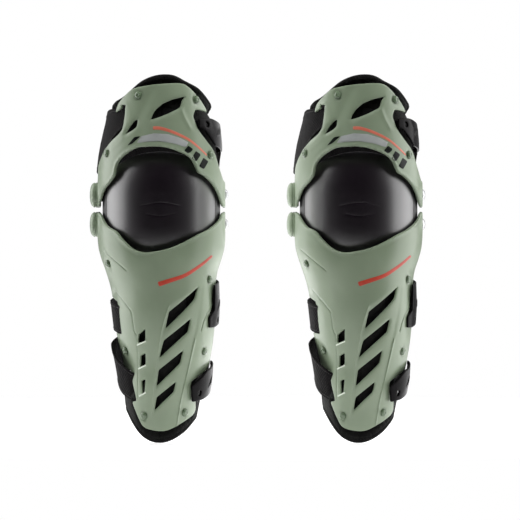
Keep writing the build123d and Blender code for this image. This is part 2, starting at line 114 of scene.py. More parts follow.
def resample(line, step, closed=False):
    """The same polyline with points about step apart."""
    if closed:
        line = np.vstack([line, line[:1]])
    seg = np.linalg.norm(np.diff(line, axis=0), axis=1)
    s = np.concatenate([[0], np.cumsum(seg)])
    n = max(3, int(round(s[-1] / step)))
    at = np.linspace(0, s[-1], n + 1)[: n if closed else n + 1]
    return np.stack([np.interp(at, s, line[:, k]) for k in range(line.shape[1])], 1)


def rounded(loop, times=2):
    """A loop with its corners cut, times over."""
    p = np.array(loop, float)
    for _ in range(times):
        q = np.roll(p, -1, 0)
        p = np.stack([0.78 * p + 0.22 * q, 0.22 * p + 0.78 * q], 1).reshape(-1, 2)
    return p


def front(form, points):
    """Front view (x, z) to flat (u, z)."""
    p = np.array(points, float)
    a, f, b, c = rows_at(form, p[:, 1])
    return np.stack([np.arcsin(np.clip((p[:, 0] - c) / a, -0.9999, 0.9999)) * U, p[:, 1]], 1)


def curve(form, points, step=2.0):
    """A smooth curve through front view points, as flat (u, z)."""
    return front(form, spline(points, step))


def opening(form, points, coarse=4.0, times=2, fine=1.5):
    """Outline with rounded corners from its corners in the front view, as flat (u, z)."""
    return resample(rounded(resample(front(form, points), coarse, True), times), fine, True)


def side(form, hand, points):
    """Side view (y, z) to flat (u, z) on the left (-1) or right (1)."""
    p = np.array(points, float)
    a, f, b, c = rows_at(form, p[:, 1])
    depth = np.where(p[:, 0] < 0, f, b)
    return np.stack([hand * np.arccos(np.clip(-p[:, 0] / depth, -1, 1)) * U, p[:, 1]], 1)


def ear(form, hand, z, start, end):
    """The round end of an arm about the hinge axis at height z, between two angles in degrees."""
    a = np.radians(np.linspace(start, end, 24))
    return side(form, hand, np.stack([EAR_R * np.cos(a), z + EAR_R * np.sin(a)], 1))


def wrap(form, ear_z=None):
    """The map from flat (u, z) and a distance outwards to 3-D, with flat ears about the hinge axis."""
    def place(P, out=0.0):
        P = np.atleast_2d(P)
        a, f, b, c = rows_at(form, P[:, 1])
        th = P[:, 0] / U
        x = c + (a + out) * np.sin(th)
        y = -(np.where(np.cos(th) > 0, f, b) + out) * np.cos(th)
        if ear_z is not None:
            w = 1 - smooth(*EAR_BLEND, np.hypot(y, P[:, 1] - ear_z))
            x = x * (1 - w) + np.sign(x) * (EAR_X + out) * w
        return np.stack([x, y, P[:, 1]], 1)
    return place


def distance(P, line, closed=False):
    """Distance from each point of P to a polyline."""
    a = np.asarray(line, float)
    b = np.roll(a, -1, 0)
    if not closed:
        a, b = a[:-1], b[:-1]
    best = np.full(len(P), 1e9)
    for s, e in zip(a, b):
        d = e - s
        t = np.clip(((P - s) @ d) / max(d @ d, 1e-12), 0, 1)
        best = np.minimum(best, np.hypot(*(P - s - t[:, None] * d).T))
    return best


def inside(P, loop):
    """Which points lie inside a loop."""
    odd = np.zeros(len(P), bool)
    x, y = P.T
    for (x0, y0), (x1, y1) in zip(loop, np.roll(loop, -1, 0)):
        if y0 != y1:
            cross = (y0 > y) != (y1 > y)
            odd ^= cross & (x < (x1 - x0) * (y - y0) / (y1 - y0) + x0)
    return odd


def material_depth(P, loops):
    """Distance into the material from its nearest edge; negative outside it."""
    ok = inside(P, loops[0])
    d = distance(P, loops[0], True)
    for hole in loops[1:]:
        ok &= ~inside(P, hole)
        d = np.minimum(d, distance(P, hole, True))
    return np.where(ok, d, -d)


def sided(P, loop):
    """Distance to a loop, positive inside it."""
    return np.where(inside(P, loop), 1, -1) * distance(P, loop, True)


def bump(d, width, high):
    """Height of a soft ridge at distance d from its middle."""
    return high * np.exp(-(d / width) ** 2)


def square_to(tangents):
    """Unit vectors square to 2-D tangents."""
    way = np.stack([-tangents[:, 1], tangents[:, 0]], 1)
    return way / np.maximum(np.linalg.norm(tangents, axis=1), 1e-9)[:, None]


def plate(outer, surface, holes=(), height=None, thick=SHELL_T, radius=1.3, grid=3.2, lines=(), base=0.0):
    """A closed sheet of material with rounded edges: vertices in mm, faces, flat points, count on top.

    Its flat points are a triangular grid, rows along each edge, and rows along the lines in its relief.
    """
    loops = [outer, *holes]
    low, high = outer.min(0), outer.max(0)
    pts = []
    for i, v in enumerate(np.arange(low[1], high[1], grid * 0.866)):
        us = np.arange(low[0] + (i % 2) * grid / 2, high[0], grid)
        pts.append(np.stack([us, np.full(len(us), v)], 1))
    pts = np.vstack(pts)
    extra = []
    for loop in loops:
        n = square_to(np.roll(loop, -1, 0) - np.roll(loop, 1, 0))
        for k in (0.15, 0.45, 1.0):
            for hand in (1, -1):
                q = loop + hand * n * radius * k
                extra.append(q[material_depth(q, loops) > 0.93 * radius * k])
    for line in lines:
        n = square_to(np.gradient(line, axis=0))
        for k in (-1.6, -0.8, 0, 0.8, 1.6):
            q = line + n * k
            extra.append(q[material_depth(q, loops) > radius * 1.3])
    pts = pts[material_depth(pts, loops) > radius + grid * 0.3]
    for line in lines:
        pts = pts[distance(pts, line) > 2.4]
    cloud = np.vstack([*loops, *extra, pts])
    edges, start = [], 0
    for loop in loops:
        n = len(loop)
        edges += [(start + i, start + (i + 1) % n) for i in range(n)]
        start += n
    flat, _, tris, *_ = geometry.delaunay_2d_cdt([Vector(p) for p in cloud], edges, [], 0, 0.02)
    flat = np.array([tuple(v) for v in flat])
    tris = np.array([t for t in tris if len(t) == 3])
    centre = flat[tris].mean(1)
    ok = inside(centre, loops[0])
    for hole in loops[1:]:
        ok &= ~inside(centre, hole)
    tris = tris[ok]
    used = np.unique(tris)
    index = np.full(len(flat), -1)
    index[used] = np.arange(len(used))
    flat, tris = flat[used], index[tris]
    d = np.maximum(material_depth(flat, loops), 0)
    edge = np.where(d < radius, radius - np.sqrt(np.maximum(radius**2 - (radius - d) ** 2, 0)), 0)
    tall = np.zeros(len(flat)) if height is None else height(flat)
    top = surface(flat, base + tall - edge)
    bottom = surface(flat, base - thick + np.minimum(edge * 0.6, thick * 0.3))
    n = len(flat)
    faces = [tuple(t) for t in tris] + [(n + t[0], n + t[2], n + t[1]) for t in tris]
    seen = {}
    for t in tris:
        for k in range(3):
            seen[(t[k], t[(k + 1) % 3])] = True
    faces += [(b, a, n + a, n + b) for a, b in seen if (b, a) not in seen]
    return np.vstack([top, bottom]), faces, flat, n


def lathe(profile, segments=40):
    """Surface of revolution about Z from (radius, height) points, closed at both ends."""
    verts, faces = [], []
    for r, h in profile:
        for k in range(segments):
            a = 2 * math.pi * k / segments
            verts.append((r * math.cos(a), r * math.sin(a), h))
    for i in range(len(profile) - 1):
        for k in range(segments):
            j = (k + 1) % segments
            faces.append((i * segments + k, i * segments + j, (i + 1) * segments + j, (i + 1) * segments + k))
    faces.append(tuple(reversed(range(segments))))
    faces.append(tuple(range((len(profile) - 1) * segments, len(profile) * segments)))
    return np.array(verts), faces


def joined(parts):
    """Several (vertices, faces) shapes as one."""
    verts, faces, n = [], [], 0
    for v, f in parts:
        verts.append(np.asarray(v, float))
        faces += [tuple(int(i) + n for i in face) for face in f]
        n += len(v)
    return np.vstack(verts), faces


def turned(verts, axis):
    """Turn vertices made about +Z so that +Z becomes axis."""
    m = np.array(Vector(axis).to_track_quat("Z", "Y").to_matrix())
    return np.asarray(verts) @ m.T


def tube(line, radius, ring=12, normal=(0, 0, 1)):
    """Round tube along a 3-D polyline."""
    p = np.asarray(line, float)
    n = len(p)
    t = np.roll(p, -1, 0) - np.roll(p, 1, 0)
    t[0], t[-1] = p[1] - p[0], p[-1] - p[-2]
    t /= np.linalg.norm(t, axis=1)[:, None]
    side_way = np.cross(t, np.array(normal, float))
    side_way /= np.maximum(np.linalg.norm(side_way, axis=1), 1e-6)[:, None]
    up = np.cross(side_way, t)
    verts, faces = [], []
    for k in range(ring):
        a = 2 * math.pi * k / ring
        verts.append(p + radius * (math.cos(a) * side_way + math.sin(a) * up))
    verts = np.stack(verts, 1).reshape(-1, 3)
    for i in range(n - 1):
        for k in range(ring):
            a, b = i * ring + k, i * ring + (k + 1) % ring
            faces.append((a, b, b + ring, a + ring))
    faces.append(tuple(range(ring - 1, -1, -1)))
    faces.append(tuple(range((n - 1) * ring, n * ring)))
    return verts, faces


def show(name, body, shape, finish, instead=(), sharp=38, uvs=None):
    """One piece on both guards. The mesh is shared."""
    mesh = bpy.data.meshes.new(name)
    verts, faces = shape
    mesh.from_pydata((np.asarray(verts) * MM).tolist(), [], [tuple(int(i) for i in f) for f in faces])
    mesh.validate()
    mesh.materials.append(finish)
    if uvs is not None:
        layer = mesh.uv_layers.new(name="UVMap")
        loops = np.zeros(len(mesh.loops), np.int32)
        mesh.loops.foreach_get("vertex_index", loops)
        layer.data.foreach_set("uv", np.asarray(uvs, float)[loops].ravel())
    mesh.shade_smooth()
    mesh.set_sharp_from_angle(angle=math.radians(sharp))
    made = []
    for hand, x in GUARDS.items():
        o = bpy.data.objects.new(f"{hand}_{name}_look", mesh)
        o.location.x = x
        bpy.context.scene.collection.objects.link(o)
        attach(o, f"{hand}_{body}")
        if instead:
            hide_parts(*[f"{hand}_{node}" for node in instead])
        made.append(o)
    return made


# ---- finishes

def linear(c):
    """Linear value of an sRGB one from 0 to 255."""
    c /= 255
    return c / 12.92 if c <= 0.04045 else ((c + 0.055) / 1.055) ** 2.4


GRAIN_DEPTH = 0.0006
PATTERNS = {"NOISE": ("ShaderNodeTexNoise", "Fac"), "CELLS": ("ShaderNodeTexVoronoi", "Distance"),
            "TWILL": ("ShaderNodeTexWave", "Fac")}


def finish_of(name, colours, rough, scale=60.0, bump_scale=None, bump_size=0.1, rough_span=0.06, metallic=0.0,
              pattern="NOISE", sheen=0.0, coat=0.0, coords="Object", gloss=0.5, ior=1.5, coat_rough=0.2):
    """Procedural finish: colour and roughness vary with noise, and a pattern gives the relief."""
    m = bpy.data.materials.new(name)
    m.use_nodes = True
    nodes, links = m.node_tree.nodes, m.node_tree.links
    shader = nodes["Principled BSDF"]
    for socket, value in (("Metallic", metallic), ("Specular IOR Level", gloss), ("IOR", ior),
                          ("Sheen Weight", sheen), ("Coat Weight", coat), ("Coat Roughness", coat_rough)):
        shader.inputs[socket].default_value = value
    where = nodes.new("ShaderNodeTexCoord")
    cloud = nodes.new("ShaderNodeTexNoise")
    cloud.inputs["Scale"].default_value = scale
    cloud.inputs["Detail"].default_value = 4
    links.new(where.outputs["Object"], cloud.inputs["Vector"])
    ramp = nodes.new("ShaderNodeValToRGB")
    for stop, place, colour in zip(ramp.color_ramp.elements, (0.3, 0.7), colours):
        stop.position = place
        stop.color = (*[linear(c) for c in colour], 1)
    links.new(cloud.outputs["Fac"], ramp.inputs["Fac"])
    links.new(ramp.outputs["Color"], shader.inputs["Base Color"])
    spread = nodes.new("ShaderNodeMapRange")
    spread.inputs["To Min"].default_value = rough - rough_span
    spread.inputs["To Max"].default_value = rough + rough_span
    links.new(cloud.outputs["Fac"], spread.inputs["Value"])
    links.new(spread.outputs["Result"], shader.inputs["Roughness"])
    if bump_scale:
        kind, relief = PATTERNS[pattern]
        grain = nodes.new(kind)
        if pattern == "NOISE":
            grain.inputs["Detail"].default_value = 3
        elif pattern == "TWILL":
            grain.bands_direction = "DIAGONAL"
            grain.inputs["Distortion"].default_value = 0.6
        grain.inputs["Scale"].default_value = bump_scale
        links.new(where.outputs[coords], grain.inputs["Vector"])
        raised = nodes.new("ShaderNodeBump")
        raised.inputs["Strength"].default_value = bump_size
        raised.inputs["Distance"].default_value = GRAIN_DEPTH
        links.new(grain.outputs[relief], raised.inputs["Height"])
        links.new(raised.outputs["Normal"], shader.inputs["Normal"])
    return m


SAGE = finish_of("sage_plastic", [(122, 136, 113), (130, 144, 121)], 0.36, 18, 900, 0.05, coat=0.15)
# Painted highlight: a pale sage for the slot lips, standing in for the light that the lips catch.
LIP_HIGHLIGHT = finish_of("sage_painted_highlight", [(196, 206, 190), (206, 214, 200)], 0.3, 60, 900, 0.05, coat=0.4)
# Painted shade: the studs' sage is darker than the shell's, for the dark shaded ring round each stud.
STUD = finish_of("sage_stud", [(84, 101, 77), (98, 115, 90)], 0.26, 90, 900, 0.05, coat=0.3)
CUP = finish_of("cup_black", [(15, 8, 15), (19, 11, 19)], 0.4, 25, 1400, 0.05, 0.04, coat=1.0,
                gloss=0.9, coat_rough=0.3)
BLACK = finish_of("moulding_black", [(22, 21, 22), (28, 27, 28)], 0.45, 60, 1100, 0.2)
HOOK = finish_of("hook_gloss", [(9, 8, 9), (14, 12, 14)], 0.2, 60, 900, 0.05, ior=1.12)
STEEL = finish_of("hinge_steel", [(168, 168, 170), (188, 188, 190)], 0.24, 120, 700, 0.08, metallic=1.0)
BRASS = finish_of("bush_metal", [(150, 130, 90), (170, 148, 104)], 0.35, 120, 700, 0.08, metallic=1.0)
WASHER = finish_of("washer_black", [(26, 26, 27), (34, 34, 35)], 0.5, 90, 900, 0.15)
PAD = finish_of("pad_mesh", [(17, 17, 17), (32, 32, 31)], 0.86, 60, 620, 1.0, pattern="CELLS", sheen=0.06,
                gloss=0.3, ior=1.25)
PIPING = finish_of("pad_piping", [(15, 15, 15), (26, 25, 25)], 0.82, 80, 150, 0.6, pattern="TWILL",
                   sheen=0.05, gloss=0.3, ior=1.25)
WEBBING = finish_of("webbing", [(14, 13, 14), (26, 24, 25)], 0.8, 90, 150, 0.8, pattern="TWILL", sheen=0.03,
                    coords="UV", gloss=0.3, ior=1.2)
THREAD = finish_of("thread", [(58, 56, 57), (72, 70, 71)], 0.7, 200, 1500, 0.3, gloss=0.2)
ORANGE = finish_of("print_orange", [(200, 104, 84), (208, 120, 100)], 0.4, 40, 900, 0.05)
RED = finish_of("print_red", [(178, 58, 42), (190, 66, 48)], 0.4, 40, 900, 0.05)
GREY = finish_of("print_grey", [(150, 154, 153), (166, 169, 168)], 0.36, 60, 900, 0.05)
INK = finish_of("print_black", [(14, 17, 15), (21, 24, 22)], 0.36, 60, 900, 0.05, ior=1.25)


# ---- thigh shell

thigh_place = wrap(THIGH, PIVOT)
thigh_arch = np.vstack([
    curve(THIGH, [(80.3, 4), (75, 19.4), (68.6, 31), (58.3, 41.4), (49, 46.6)]),
    curve(THIGH, [(49, 46.6), (39, 64.8), (23, 73.8), (4, 79), (-15.5, 79.6), (-35, 76.4), (-54.4, 61),
                  (-59.6, 43)]),
    curve(THIGH, [(-59.6, 43), (-64.8, 36), (-73.8, 26), (-79, 13), (-80.3, 4)])])
thigh_outer = np.vstack([
    curve(THIGH, [(-50.5, 129), (-58.3, 124.3)]),
    curve(THIGH, [(-58.3, 124.3), (-54.4, 136), (-44, 147.6), (-35, 154), (-15.5, 158), (4, 160), (26, 160.6),
                  (36, 156.7), (49, 143.7), (58.3, 129.5), (59.6, 124.3)]),
    curve(THIGH, [(50.5, 127), (45, 127)]),
    curve(THIGH, [(45, 127), (42.7, 119), (45.3, 111), (49, 102), (58.3, 89.4), (68.6, 75), (75, 55.7),
                  (80.3, 39)]),
    side(THIGH, 1, spline([(2, 31), (14, 26), (16.5, 20)])),
    ear(THIGH, 1, PIVOT, 0, -90), thigh_arch, ear(THIGH, -1, PIVOT, -90, 0),
    side(THIGH, -1, spline([(15.5, 36), (8, 47), (-8, 56), (-20, 64), (-30, 71)])),
    curve(THIGH, [(-72.5, 77.7), (-63.5, 88), (-54.4, 95.8), (-49, 103.6), (-46.6, 116.6), (-44.7, 133.5)]),
    curve(THIGH, [(-44.7, 133.5), (-50.5, 133.5)])])
thigh_outer = rounded(resample(thigh_outer, 2.0, True), 1)
BIG_VENT = [(-12.3, 114), (-9, 121.7), (-5.2, 127), (4, 134.7), (16.8, 140), (32.4, 143.7), (28.5, 138.6),
            (26, 129.5), (10.4, 121.7), (-2.6, 116.6)]
SMALL_VENT = [(-45.3, 95.8), (-40, 105), (-33.7, 112.7), (-29.8, 115.3), (-31, 105), (-36.3, 101)]
thigh_vents = [opening(THIGH, v, times=1) for v in (BIG_VENT, SMALL_VENT)]
thigh_studs = front(THIGH, [(-27.8, 145.7), (46, 140.5), (-70, 72), (64, 70)])
valley = curve(THIGH, [(-10, 152), (-20, 133), (-27, 112), (-24, 98)])
crease = curve(THIGH, [(32, 143), (27, 131), (31, 117), (38, 104)])
left_fold = curve(THIGH, [(-45, 134), (-41, 121), (-42, 106), (-50, 92), (-62, 80)])


def stud_seats(P, studs):
    """How far a shell is sunk round its studs."""
    h = 0
    for s in studs:
        h = h + 1.1 * (1 - smooth(5.4, 7.2, np.hypot(*(P - s).T)))
    return h


def thigh_height(P):
    """Relief of the thigh shell: a rolled rim along the arch, a valley, a crease, a fold and sunk vents."""
    h = bump(distance(P, thigh_arch) - 2.2, 1.2, 1.1) - bump(distance(P, thigh_arch) - 5.0, 1.4, 0.5)
    h -= bump(distance(P, valley), 7.0, 1.6)
    h += bump(distance(P, crease), 3.0, 0.9)
    h += bump(distance(P, left_fold) - 2.5, 2.0, 0.5)
    for vent in thigh_vents:
        h -= 1.1 * (1 - smooth(0.3, 4.2, distance(P, vent, True)))
    return h - stud_seats(P, thigh_studs)


verts, faces, *_ = plate(thigh_outer, thigh_place, thigh_vents, thigh_height, radius=1.3, grid=2.8,
                         lines=[crease[::2]])
show("thigh_shell", "thigh", (verts, faces), SAGE, ["thigh_shell"])

# ---- shin shell

shin_place = wrap(SHIN, -PIVOT)
shin_arch = np.vstack([
    curve(SHIN, [(-80.3, -4), (-70, -20.7), (-57, -28.5), (-48, -39), (-35, -50.5), (-22, -55), (-9, -54.4),
                 (10.4, -50.5), (29.8, -42.7), (49, -32.4), (62, -26), (75, -15.5), (80.3, -4)])])
shin_outer = np.vstack([
    shin_arch, ear(SHIN, 1, -PIVOT, 90, 0),
    side(SHIN, 1, spline([(15.5, -34), (8, -52), (4, -80), (3.5, -112.7)])),
    curve(SHIN, [(71, -112.7), (66, -125.6), (63.5, -133)]),
    curve(SHIN, [(63.5, -133), (63.5, -150)]),
    side(SHIN, 1, spline([(1.5, -151.5), (-3, -196)])),
    curve(SHIN, [(61, -203), (55.7, -210), (40, -221)]),
    curve(SHIN, [(40, -221), (39, -230), (40, -242)]),
    curve(SHIN, [(45, -246), (44, -260), (36, -269), (13, -282), (-2.6, -284.3), (-20.7, -280), (-28.5, -269),
                 (-37.6, -247)]),
    curve(SHIN, [(-31.7, -246), (-36.3, -226.6), (-39.5, -207)]),
    curve(SHIN, [(-39.5, -207), (-46.6, -207), (-50.5, -200)]),
    side(SHIN, -1, spline([(-3.3, -197), (1, -159)])),
    curve(SHIN, [(-51.8, -159), (-57, -119)]),
    curve(SHIN, [(-57, -119), (-64, -114)]),
    side(SHIN, -1, spline([(3.5, -112), (4, -80), (8, -52), (15.5, -34)])),
    ear(SHIN, -1, -PIVOT, 0, 90)])
shin_outer = rounded(resample(shin_outer, 2.0, True), 1)
BIG_SLOTS = [[(11.7, -131), (49, -99.7), (45, -115), (6.5, -153)],
             [(4.5, -168), (40, -140), (36, -157), (-1.3, -190)],
             [(-2.6, -206), (29.8, -181), (26, -197), (-5.2, -226.6)],
             [(-5.2, -241), (20.7, -221), (17.5, -234), (-7.8, -257.7)]]
SMALL_SLOTS = [[(-28.5, -160.6), (-19.4, -153), (-19.4, -168.4), (-28.5, -171)],
               [(-26, -188), (-19.4, -184), (-19.4, -199), (-26, -202)],
               [(-24.6, -220), (-19.4, -217.6), (-20.7, -234), (-23.3, -237)]]
shin_slots = [opening(SHIN, v) for v in BIG_SLOTS]
small_slots = [opening(SHIN, v, 2.5, fine=1.2) for v in SMALL_SLOTS]
slot_lips = [curve(SHIN, v, 1.2) for v in (
    [(-29.5, -174), (-18.4, -168.9)], [(-28, -204.6), (-18.4, -199.6)], [(-27, -239.6), (-18.4, -234.6)])]
shin_studs = front(SHIN, [(-68, -70), (62.8, -90), (-46, -182), (56, -182.6), (-21.4, -265), (31, -261)])
STEP = np.array([(-60, -104), (-54, -111), (-37.6, -131), (-36, -142.5), (-33.7, -157), (-30.8, -161),
                 (-29.5, -190), (-29.5, -242)])
step_line = front(SHIN, resample(STEP, 1.5))
left_panel = np.vstack([step_line, front(SHIN, [(-44, -260), (-52.5, -205), (-61, -150), (-66, -110)])])
left_ridge = curve(SHIN, [(11, -124), (3, -150), (-4, -190), (-8, -227), (-10.5, -262)])
right_ridge = curve(SHIN, [(44, -168), (35, -207), (26, -246), (20.7, -279)])
slot_field = np.vstack([left_ridge, front(SHIN, [(-16, -300), (24, -300)]), right_ridge[::-1],
                        curve(SHIN, [(46, -160), (52, -128), (55, -98)])])
right_crease = curve(SHIN, [(64, -128), (56.5, -141), (52, -156)], 1.2)
upper_groove = curve(SHIN, [(-75, -52), (-63.5, -62), (-44, -78)], 1.5)


def shin_height(P):
    """Relief of the shin shell: rolled rim, sunk side panel and slot field, ridges, grooves and lips."""
    h = bump(distance(P, shin_arch) - 2.0, 1.2, 0.9) - bump(distance(P, shin_arch) - 4.6, 1.4, 0.4)
    h -= 0.9 * smooth(-1.2, 1.2, sided(P, left_panel))
    h -= bump(distance(P, step_line), 0.8, 1.0)
    fade = (1 - 0.5 * smooth(-150, -110, P[:, 1])) * smooth(-286, -258, P[:, 1])
    h -= smooth(-1.5, 2.5, sided(P, slot_field)) * fade
    h += bump(distance(P, left_ridge), 1.1, 0.8) + bump(distance(P, right_ridge), 1.2, 0.95)
    h -= bump(distance(P, right_crease), 0.8, 1.1) + bump(distance(P, upper_groove), 0.9, 0.8)
    for slot in shin_slots:
        h -= 0.7 * (1 - smooth(0.2, 3.0, distance(P, slot, True)))
    for lip in slot_lips:
        h += bump(distance(P, lip), 1.3, 1.2)
    return h - stud_seats(P, shin_studs)


verts, faces, *_ = plate(shin_outer, shin_place, shin_slots + small_slots, shin_height, radius=1.3, grid=2.9,
                         lines=[step_line[::2], left_ridge[::2], right_ridge[::2], right_crease,
                                upper_groove, *slot_lips])
show("shin_shell", "shin", (verts, faces), SAGE, ["shin_shell"])
# The slot lip tubes wear the pale sage as a painted highlight.
show("slot_lips", "shin", joined([tube(shin_place(lip, 0.5), 0.95) for lip in slot_lips]), LIP_HIGHLIGHT,
     sharp=80)


# ---- studs and caps

def on_surface(place, point, out=0.0):
    """Point on a shell and the direction straight out of it."""
    p = np.array([point], float)
    at = place(p, out)[0]
    across = place(p + [[0.5, 0]])[0] - place(p - [[0.5, 0]])[0]
    along = place(p + [[0, 0.5]])[0] - place(p - [[0, 0.5]])[0]
    n = np.cross(across, along)
    return at, n / np.linalg.norm(n)


STUD_PROFILE = [(0.5, -4.6), (2.4, -4.6), (2.4, -0.7), (4.7, -0.7), (5.0, -0.3), (4.95, 0.3), (4.5, 1.2),
                (3.7, 1.9), (2.7, 2.35), (2.1, 2.45), (1.8, 2.2), (1.2, 2.05), (0.3, 2.05)]


def stud_set(place, points):
    """Domed studs seated on a shell."""
    parts = []
    for p in points:
        at, n = on_surface(place, p, 0.3)
        v, f = lathe(STUD_PROFILE)
        parts.append((turned(v, n) + at, f))
    return joined(parts)


# The studs wear the darker sage as painted shade.
show("thigh_studs", "thigh", stud_set(thigh_place, thigh_studs), STUD, ["thigh_studs"])
show("shin_studs", "shin", stud_set(shin_place, shin_studs), STUD, ["shin_studs"])
CAP_PROFILE = [(13.2, 0.1), (16.3, 0.1), (16.3, 1.7), (15.5, 2.1), (15.4, 2.8), (16.0, 3.2), (16.1, 4.4),
               (15.4, 6.0), (13.8, 7.6), (11.2, 8.9), (8.6, 9.6), (7.9, 9.5), (7.2, 9.7), (4.0, 10.2),
               (0.4, 10.35)]
for which, body, z in (("upper", "thigh", PIVOT), ("lower", "shin", -PIVOT)):
    v, f = lathe(CAP_PROFILE, 64)
    v = turned(v, (-1, 0, 0)) + np.array([-EAR_X, 0, z])
    show(f"{which}_hinge_cap", body, (v, f), SAGE, [f"{which}_hinge_cap"])

# ---- printed marks

def printed(name, body, form, place, height, points, finish):
    """A thin print that follows the relief of a shell."""
    loop = opening(form, points, 2.5, 1)
    v, f, *_ = plate(loop, place, (), height, thick=0.3, radius=0.05, grid=2.6, base=0.14)
    show(name, body, (v, f), finish)


def stripe(points, start, end):
    """Outline of a stripe along a curve, its width running from start to end."""
    line = spline(points, 2.0)
    n = square_to(np.gradient(line, axis=0))
    w = np.linspace(start, end, len(line))[:, None] / 2
    return np.vstack([line + n * w, (line - n * w)[::-1]])


ON_THIGH = ("thigh", THIGH, thigh_place, thigh_height)
printed("thigh_stripe", *ON_THIGH,
        stripe([(-9, 103.2), (0, 103), (16.8, 98), (36, 89), (49, 79), (59.6, 69)], 4.4, 2.0), ORANGE)
printed("shin_stripe", "shin", SHIN, shin_place, shin_height,
        stripe([(-2, -96), (10.4, -92), (29.8, -85.5), (42.7, -78), (55.7, -68.6), (66, -59.6)], 6.0, 2.8),
        RED)
printed("band_grey", *ON_THIGH,
        [(-24, 93), (-8, 96.5), (10, 95.5), (26, 90.5), (36, 85), (33, 79), (18, 83.5), (0, 86.5), (-18, 86),
         (-30, 84)], GREY)
printed("band_tail", *ON_THIGH, [(-42, 81), (-35, 84), (-25, 93), (-33, 92)], INK)
for k, (x, z, drop) in enumerate(((34, 79, 8.5), (43.5, 72.5, 12), (53, 64, 13))):
    printed(f"band_bar_{k}", *ON_THIGH,
            [(x + 2, z + 2), (x + 8.5, z - 2.5), (x + 2.5, z - drop), (x - 3.5, z + 4 - drop)], INK)

# ---- knee cup and pad

CUP_R, CUP_W = 86.0, 77.0   # radius about each hinge axis, half width


def cup_place(P, out=0.0):
    """Flat (across, along) to the cup, which is straight between the hinge axes and round each of them."""
    t = P[:, 0] / U
    x = (CUP_W + out) * np.sin(t)
    r = (CUP_R + out) * np.cos(t)
    s = np.abs(P[:, 1])
    turn = np.maximum(s - PIVOT, 0) / CUP_R
    z = np.sign(P[:, 1]) * (np.minimum(s, PIVOT) + r * np.sin(turn))
    return np.stack([x, -r * np.cos(turn), z], 1)


def cup_loop(half_width, reach_deg, inset):
    """Rounded rectangle in the cup's flat coordinates."""
    w = math.asin(half_width / CUP_W) * U - inset
    h = PIVOT + CUP_R * math.radians(reach_deg) - inset
    corners = np.array([(-w, -h), (w, -h), (w, h), (-w, h)], float)
    return resample(rounded(resample(corners, 6, True), 3), 2.0, True)


arc_top = spline([(-26, 4.5), (0, 8.0), (26, 4.5)], 1.2)
arc_low = spline([(-18, -6.5), (0, -9.0), (18, -6.5)], 1.2)


def cup_height(P):
    """Relief of the cup: two arc grooves, and sides drawn in a little."""
    h = -bump(distance(P, arc_top), 0.8, 0.4) - bump(distance(P, arc_low), 0.8, 0.35)
    return h - 0.6 * smooth(60, 84, np.abs(P[:, 0]))


verts, faces, *_ = plate(cup_loop(75.6, 40, 0), cup_place, (), cup_height, thick=3.0, radius=1.2, grid=3.0,
                         lines=[arc_top, arc_low])
show("knee_cup", "knee_cup", (verts, faces), CUP, ["knee_cup"])

# ---- padded pieces

PUFF_FRAMES = 20
PUFF_LIMIT = 1.8    # the furthest that a pad's point may move


def bare(name, verts, faces):
    """A plain object for a passing job."""
    mesh = bpy.data.meshes.new(name)
    mesh.from_pydata(verts.tolist(), [], [tuple(int(i) for i in f) for f in faces])
    o = bpy.data.objects.new(name, mesh)
    bpy.context.scene.collection.objects.link(o)
    return o


def puffed(verts, faces, pins):
    """Blow a closed pad up by cloth simulation between its pinned seams."""
    o = bare("pad_sim", verts * MM, faces)
    group = o.vertex_groups.new(name="seams")
    group.add([int(i) for i in pins], 1.0, "REPLACE")
    cloth = o.modifiers.new("cloth", "CLOTH")
    s = cloth.settings
    s.quality = 6
    s.mass = 0.25
    s.tension_stiffness = 12
    s.compression_stiffness = 12
    s.bending_stiffness = 0.4
    s.use_pressure = True
    s.uniform_pressure_force = 4
    s.vertex_group_mass = "seams"
    s.effector_weights.gravity = 0
    cloth.point_cache.frame_end = PUFF_FRAMES
    scene = bpy.context.scene
    for f in range(1, PUFF_FRAMES + 1):
        scene.frame_set(f)
    ready = o.evaluated_get(bpy.context.evaluated_depsgraph_get())
    co = np.zeros(len(verts) * 3)
    ready.data.vertices.foreach_get("co", co)
    move = co.reshape(-1, 3) / MM - verts
    size = np.linalg.norm(move, axis=1)[:, None]
    scene.frame_set(1)
    bpy.data.objects.remove(o)
    return verts + move * np.minimum(1, PUFF_LIMIT / np.maximum(size, 1e-6))


def softened(verts, faces):
    """One subdivision of a pad's mesh."""
    o = bare("pad_smooth", verts, faces)
    o.modifiers.new("smooth", "SUBSURF").levels = 1
    bpy.context.view_layer.update()
    ready = o.evaluated_get(bpy.context.evaluated_depsgraph_get()).to_mesh()
    out = np.array([tuple(v.co) for v in ready.vertices]), [tuple(p.vertices) for p in ready.polygons]
    bpy.data.objects.remove(o)
    return out


def pad(name, body, outer, place, seams, base, thick):
    """A foam pad under fabric, quilted along its seams."""
    def quilted(P):
        d = np.minimum.reduce([distance(P, s) for s in seams])
        return -1.2 * (1 - smooth(0.3, 3.0, d))
    v, f, flat, n = plate(outer, place, (), quilted, thick=thick, radius=2.8, grid=5.0, base=base,
                          lines=[resample(s, 3.0) for s in seams])
    near = np.minimum.reduce([distance(flat, s) for s in seams]) < 1.0
    near |= material_depth(flat, [outer]) < 0.6
    pins = np.flatnonzero(near)
    v = puffed(v, f, np.concatenate([pins, pins + n]))
    v, f = softened(v, f)
    for o in show(name, body, (v, f), PAD, [name], sharp=80):
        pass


def rim(form, points, inset):
    """A smooth curve through front view points, as flat (u, z) on a surface inset inside the form."""
    p = spline(points)
    a, f, b, c = rows_at(form, p[:, 1])
    return np.stack([np.arcsin(np.clip((p[:, 0] - c) / (a - inset), -0.99999, 0.99999)) * U, p[:, 1]], 1)


thigh_plain, shin_plain = wrap(THIGH), wrap(SHIN)


